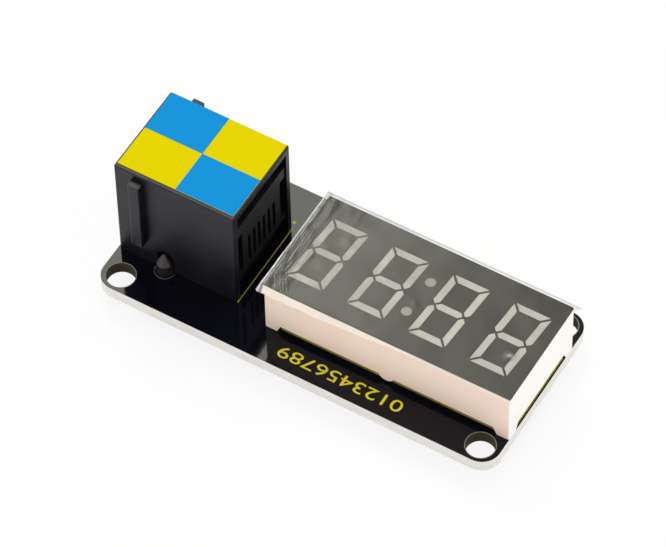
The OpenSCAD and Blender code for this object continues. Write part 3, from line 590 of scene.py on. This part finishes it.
def film_point(u, v):
    """Place of a point of the film, and how much paler (above 0) or darker (below 0) it is painted
    there: a fine line, whitening, and the painted highlights and painted shade of the wrinkles and
    bubbles. u runs from left to right and v from front to back, both from 0 to 1. Columns are
    closest at the wrinkled left end."""
    left = FACE_LOW.x / MM - FILM_OVER_LEFT
    right = FACE_HIGH.x / MM
    front = FACE_LOW.y / MM
    back = FACE_HIGH.y / MM + FILM_OVER_BACK
    u = (1 - FILM_CROWDING) * u + FILM_CROWDING * u * u
    x = left + (right - left) * u
    y = front - FILM_FLAP + (back - front + FILM_FLAP) * v
    z = FACE_HIGH.z / MM + FILM_LIFT
    # Flap over the front edge, which slopes down, fades out to the right and has an
    # uneven border
    on_flap = y < front
    if on_flap:
        share = (front - y) / FILM_FLAP
        width = FILM_FLAP * max(FILM_FLAP_LEAST, 1 - (u / FILM_FLAP_REACH) ** 2)
        width *= 1 + 0.22 * noise.noise((x * 0.5, 0, 3)) + 0.1 * noise.noise((x * 1.7, 0, 8))
        y = front - FILM_FLAP_OUT * width * share
        z -= FILM_FLAP_DOWN * width * share ** 1.2
        x -= 0.2 * share * math.exp(-(x - left) / 0.5)
    inward = x - left
    # 1 over the front and the middle, where the film is wrinkled, and 0 at the back
    wrinkled = 1 / (1 + math.exp(1.6 * (y - WRINKLES_END)))
    # At the back a fine white line shows the face's left edge, which lies below the film
    whitening_and_fold_light = 0.5 * (1 - wrinkled) * bell(inward - FILM_OVER_LEFT, 0.08)
    # Elsewhere it is painted whiter towards its left edge and front corner
    whitening_and_fold_light += 0.75 * wrinkled * math.exp(-inward / 0.55) * (0.3 + 0.7 * math.exp((front - y) / 3.0))
    # Wrinkles run along the left edge and turn away from it near the front
    turn = 0.6 * max(0.0, front + 2.6 - y) + 0.12 * noise.noise((x * 0.3, y * 0.5, 2))
    for inset, height in FILM_WRINKLES:
        uneven = max(0.0, 0.6 + 1.3 * noise.noise((inset * 3, y * 0.4, 2)))
        strength = height * uneven * (0.15 + 0.85 * wrinkled)
        off = inward - inset - turn
        z += strength * bell(off, RIDGE)
        # Painted highlight on the wrinkle's crest, and painted shade just beside it
        whitening_and_fold_light += 18 * strength * (bell(off, CREST) - 0.8 * bell(off - SHADE_OFF, SHADE))
    whitening_and_fold_light = 0.0 if on_flap else min(1.0, whitening_and_fold_light)
    # The left end stands loose, and the whole film is faintly uneven
    z += 0.10 * math.exp(-inward / 2.2) * (0.5 + noise.noise((x * 1.3, y * 0.4, 1)))
    z += 0.04 * (0.5 + noise.noise((x * 0.25, y * 0.3, 5)))
    for bubble_x, bubble_y, radius, height in FILM_BUBBLES:
        rise = height * bell(math.hypot(x - bubble_x, y - bubble_y), radius)
        z += rise
        # Each bubble is also painted paler, a painted highlight
        whitening_and_fold_light += 7 * rise
    # The cut edges at the left and the back curl up a little
    z += CURL * (math.exp(-inward / CURL_REACH) + math.exp(-(back - y) / CURL_REACH))
    # The back right corner stands out as a small tab, which droops
    tab = max(0.0, 1 - math.hypot(x - right, y - back) / TAB_SIZE)
    x += TAB_OUT * tab ** 0.8
    z -= 0.1 * tab
    return Vector((x, y, z)) * MM, whitening_and_fold_light


def protective_film():
    """Thin clear sheet over the face, loose and wrinkled at its left end."""
    mesh = bmesh.new()
    bmesh.ops.create_grid(mesh, x_segments=FILM_COLUMNS, y_segments=FILM_ROWS, size=0.5)
    whitening_and_fold_light_layer = mesh.verts.layers.float.new("whitening_and_fold_light")
    for point in mesh.verts:
        point.co, point[whitening_and_fold_light_layer] = film_point(point.co.x + 0.5, point.co.y + 0.5)
    piece = make_piece(mesh, "film_sheet", FILM)
    skin = piece.modifiers.new("thickness", "SOLIDIFY")
    skin.thickness = FILM_THICK * MM
    skin.offset = 1.0
    for face in piece.data.polygons:
        face.use_smooth = True
    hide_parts("protective_film")


def printed_numbers():
    """Plain numbers along the front strip, upside down as seen from the front."""
    text = bpy.data.curves.new("numbers", "FONT")
    text.body = NUMBERS
    # Any depth does, because the ink's height is set below
    text.extrude = 0.5
    holder = bpy.data.objects.new("numbers", text)
    bpy.context.scene.collection.objects.link(holder)
    bpy.context.view_layer.update()
    mesh = bmesh.new()
    mesh.from_mesh(holder.to_mesh())
    holder.to_mesh_clear()
    bpy.data.objects.remove(holder)
    low = Vector([min(p.co[i] for p in mesh.verts) for i in range(3)])
    high = Vector([max(p.co[i] for p in mesh.verts) for i in range(3)])
    size = high - low
    width = (NUMBERS_X[1] - NUMBERS_X[0]) * MM
    depth = (NUMBERS_Y[1] - NUMBERS_Y[0]) * MM
    bmesh.ops.translate(mesh, verts=mesh.verts, vec=-low)
    bmesh.ops.scale(mesh, verts=mesh.verts,
                    vec=(width / size.x, depth / size.y, INK_HEIGHT * MM / size.z))
    bmesh.ops.rotate(mesh, verts=mesh.verts, matrix=Matrix.Rotation(math.pi, 3, "Z"))
    bmesh.ops.translate(mesh, verts=mesh.verts,
                        vec=(NUMBERS_X[1] * MM, NUMBERS_Y[1] * MM, BOARD_HIGH.z))
    make_piece(mesh, "printed_numbers", INK)


def ring(mesh, middle, radius, bead, turns=1.0):
    """Adds a round bead that lies in a circle about middle, or in a part of one. It
    starts at +X, and negative turns run clockwise."""
    start = bmesh.ops.create_circle(mesh, segments=RIM_SIDES, radius=bead)["verts"]
    bmesh.ops.rotate(mesh, verts=start, matrix=Matrix.Rotation(math.pi / 2, 3, "X"))
    bmesh.ops.translate(mesh, verts=start, vec=middle + Vector((radius, 0, 0)))
    edges = list({e for v in start for e in v.link_edges})
    bmesh.ops.spin(mesh, geom=start + edges, cent=middle, axis=(0, 0, 1),
                   angle=turns * 2 * math.pi, steps=int(RIM_STEPS * abs(turns)),
                   use_merge=abs(turns) == 1.0)


def hole_rims():
    """Bare rims of the fixing holes, on both faces of the board."""
    mesh = bmesh.new()
    x = HOLES["spacing_x_mm"] / 2 * MM
    y = HOLES["spacing_y_mm"] / 2 * MM
    radius = (HOLES["hole_r_mm"] + HOLE_RIM_OUT) * MM
    for side_x in (-1, 1):
        for side_y in (-1, 1):
            for z in (BOARD_LOW.z, BOARD_HIGH.z):
                ring(mesh, Vector((side_x * x, side_y * y, z)), radius, HOLE_RIM * MM)
    make_piece(mesh, "hole_rims", RIM)


def peg_hole_rims():
    """Rims of the two holes that hold the pegs: half rings, outside the jack."""
    mesh = bmesh.new()
    for name, side in (("front_peg", -1), ("back_peg", 1)):
        low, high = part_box(name)
        middle = Vector(((low.x + high.x) / 2, (low.y + high.y) / 2, BOARD_HIGH.z))
        ring(mesh, middle, PEG_RIM_RADIUS * MM, PEG_RIM * MM, turns=side / 2)
    make_piece(mesh, "peg_hole_rims", SHADED_RIM)


def tracks():
    """Raised lines of the copper tracks and vias on the underside."""
    mesh = bmesh.new()
    mirrored = tuple(tuple((x, -y) for x, y in line) for line in CHIP_TRACKS)
    level = BOARD_LOW.z / MM - TRACK_RISE / 2
    for line in TRACKS + CHIP_TRACKS + mirrored:
        for (x0, y0), (x1, y1) in zip(line, line[1:]):
            length = math.hypot(x1 - x0, y1 - y0) + TRACK_WIDTH
            size = Vector((length, TRACK_WIDTH, TRACK_RISE)) * MM
            middle = Matrix.Translation(Vector(((x0 + x1) / 2, (y0 + y1) / 2, level)) * MM)
            turn = Matrix.Rotation(math.atan2(y1 - y0, x1 - x0), 4, "Z")
            shape = Matrix.Diagonal(size.to_4d())
            bmesh.ops.create_cube(mesh, size=1, matrix=middle @ turn @ shape)
    for x, y in VIAS:
        bmesh.ops.create_cone(mesh, cap_ends=True, segments=VIA_SIDES, radius1=VIA_RADIUS * MM,
                              radius2=VIA_RADIUS * MM, depth=TRACK_RISE * MM,
                              matrix=Matrix.Translation(Vector((x, y, level)) * MM))
    make_piece(mesh, "masked_tracks", TRACK_MASK)


def studio():
    """Pale table, white surroundings and the soft lamps."""
    mesh = bmesh.new()
    bmesh.ops.create_grid(mesh, x_segments=1, y_segments=1, size=TABLE_HALF_WIDTH)
    data = bpy.data.meshes.new("table")
    mesh.to_mesh(data)
    mesh.free()
    data.materials.append(studio_floor())
    table = bpy.data.objects.new("table", data)
    bpy.context.scene.collection.objects.link(table)

    world = bpy.data.worlds.new("studio")
    bpy.context.scene.world = world
    world.use_nodes = True
    tree = world.node_tree
    strength = add(tree, "ShaderNodeMapRange", {
        "Value": seen_share(tree), "To Min": WORLD_LIGHT, "To Max": WHITE,
    })
    sky = tree.nodes["Background"]
    sky.inputs["Color"].default_value = linear("#ffffff")
    tree.links.new(strength.outputs["Result"], sky.inputs["Strength"])

    for name, settings in LAMPS.items():
        lamp(name, *settings)


def lamp(name, towards, distance, size, radiance, tint):
    """A square soft lamp that faces the object from a direction."""
    direction = Vector(towards)
    light = bpy.data.lights.new(name, "AREA")
    light.shape = "SQUARE"
    light.size = size
    # An area lamp's power is shared out over four times its area
    light.energy = radiance * 4 * size * size
    light.color = linear(tint)[:3]
    holder = bpy.data.objects.new(name, light)
    holder.location = direction.normalized() * distance
    holder.rotation_euler = direction.to_track_quat("Z", "Y").to_euler()
    bpy.context.scene.collection.objects.link(holder)


def camera():
    """The camera at the photograph's place and angle."""
    data = bpy.data.cameras.new("camera")
    data.sensor_fit = "HORIZONTAL"
    data.sensor_width = SENSOR_WIDTH
    data.lens = FOCAL_PIXELS / PHOTO_WIDTH * SENSOR_WIDTH
    holder = bpy.data.objects.new("camera", data)
    turn = (Matrix.Rotation(CAMERA_AZIMUTH, 4, "Z")
            @ Matrix.Rotation(math.pi / 2 - CAMERA_ELEVATION, 4, "X")
            @ Matrix.Rotation(CAMERA_ROLL, 4, "Z"))
    holder.matrix_world = Matrix.Translation(CAMERA_AT) @ turn
    bpy.context.scene.collection.objects.link(holder)
    bpy.context.scene.camera = holder


dress_nodes()
protective_film()
printed_numbers()
hole_rims()
peg_hole_rims()
tracks()
studio()
camera()
bpy.context.scene.view_settings.view_transform = "Standard"
